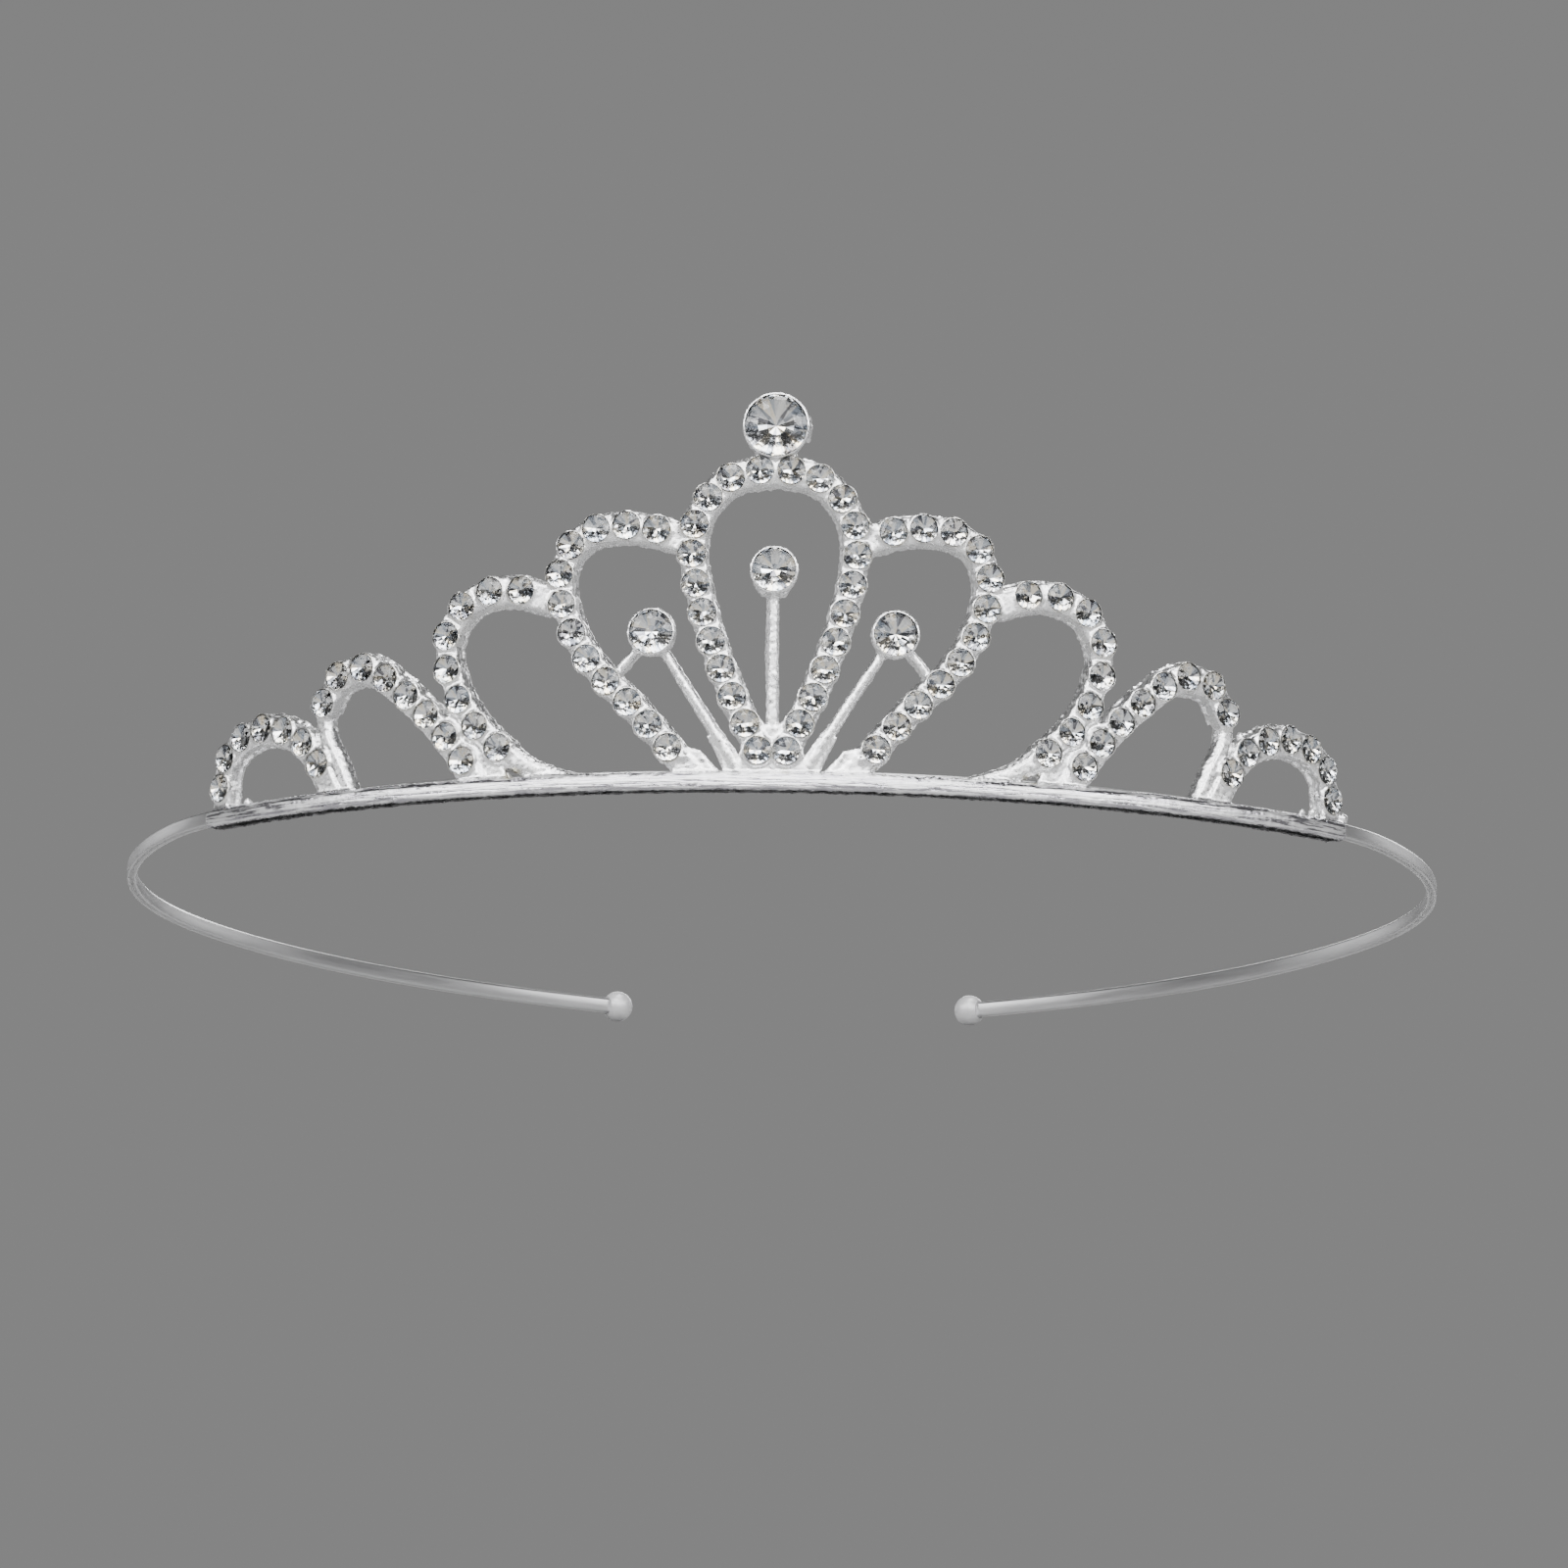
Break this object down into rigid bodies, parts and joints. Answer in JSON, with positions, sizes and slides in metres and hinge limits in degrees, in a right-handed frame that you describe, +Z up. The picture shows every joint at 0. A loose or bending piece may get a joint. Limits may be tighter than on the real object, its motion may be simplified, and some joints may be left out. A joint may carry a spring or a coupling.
{
  "type": "bridal tiara",
  "caption": "Bridal tiara: arched openwork casting set with clear crystal stones on a slim steel headband with ball tips.",
  "frame": {"origin": "under the middle of the whole object's box, on the plane it stands on", "axes": "+Z up, the front of the tiara faces -Y, +X is to the right seen from the front"},
  "size_m": [0.1382, 0.1572, 0.0415],
  "materials": {
    "plating": "bright silver plating over a slightly grainy casting",
    "spring_steel": "satin nickel-plated spring steel",
    "ball_tips": "smooth pale grey coating",
    "crystal": "clear foil-backed cut crystal"
  },
  "bodies": {
    "root": {"arch_casting": "plating", "headband_strip": "spring_steel", "left_ball_tip": "ball_tips", "right_ball_tip": "ball_tips", "top_stone": "crystal", "centre_pin_stone": "crystal", "left_pin_stone": "crystal", "right_pin_stone": "crystal", "centre_loop_right_stone_01": "crystal", "centre_loop_right_stone_02": "crystal", "centre_loop_right_stone_03": "crystal", "centre_loop_right_stone_04": "crystal", "centre_loop_right_stone_05": "crystal", "centre_loop_right_stone_06": "crystal", "centre_loop_right_stone_07": "crystal", "centre_loop_right_stone_08": "crystal", "centre_loop_right_stone_09": "crystal", "centre_loop_right_stone_10": "crystal", "centre_loop_right_stone_11": "crystal", "centre_loop_right_stone_12": "crystal", "centre_loop_left_stone_01": "crystal", "centre_loop_left_stone_02": "crystal", "centre_loop_left_stone_03": "crystal", "centre_loop_left_stone_04": "crystal", "centre_loop_left_stone_05": "crystal", "centre_loop_left_stone_06": "crystal", "centre_loop_left_stone_07": "crystal", "centre_loop_left_stone_08": "crystal", "centre_loop_left_stone_09": "crystal", "centre_loop_left_stone_10": "crystal", "centre_loop_left_stone_11": "crystal", "centre_loop_left_stone_12": "crystal", "second_arch_right_stone_01": "crystal", "second_arch_right_stone_02": "crystal", "second_arch_right_stone_03": "crystal", "second_arch_right_stone_04": "crystal", "second_arch_right_stone_05": "crystal", "second_arch_right_stone_06": "crystal", "second_arch_right_stone_07": "crystal", "second_arch_right_stone_08": "crystal", "second_arch_right_stone_09": "crystal", "second_arch_right_stone_10": "crystal", "second_arch_right_stone_11": "crystal", "second_arch_right_stone_12": "crystal", "second_arch_left_stone_01": "crystal", "second_arch_left_stone_02": "crystal", "second_arch_left_stone_03": "crystal", "second_arch_left_stone_04": "crystal", "second_arch_left_stone_05": "crystal", "second_arch_left_stone_06": "crystal", "second_arch_left_stone_07": "crystal", "second_arch_left_stone_08": "crystal", "second_arch_left_stone_09": "crystal", "second_arch_left_stone_10": "crystal", "second_arch_left_stone_11": "crystal", "second_arch_left_stone_12": "crystal"}
  },
  "joints": []
}
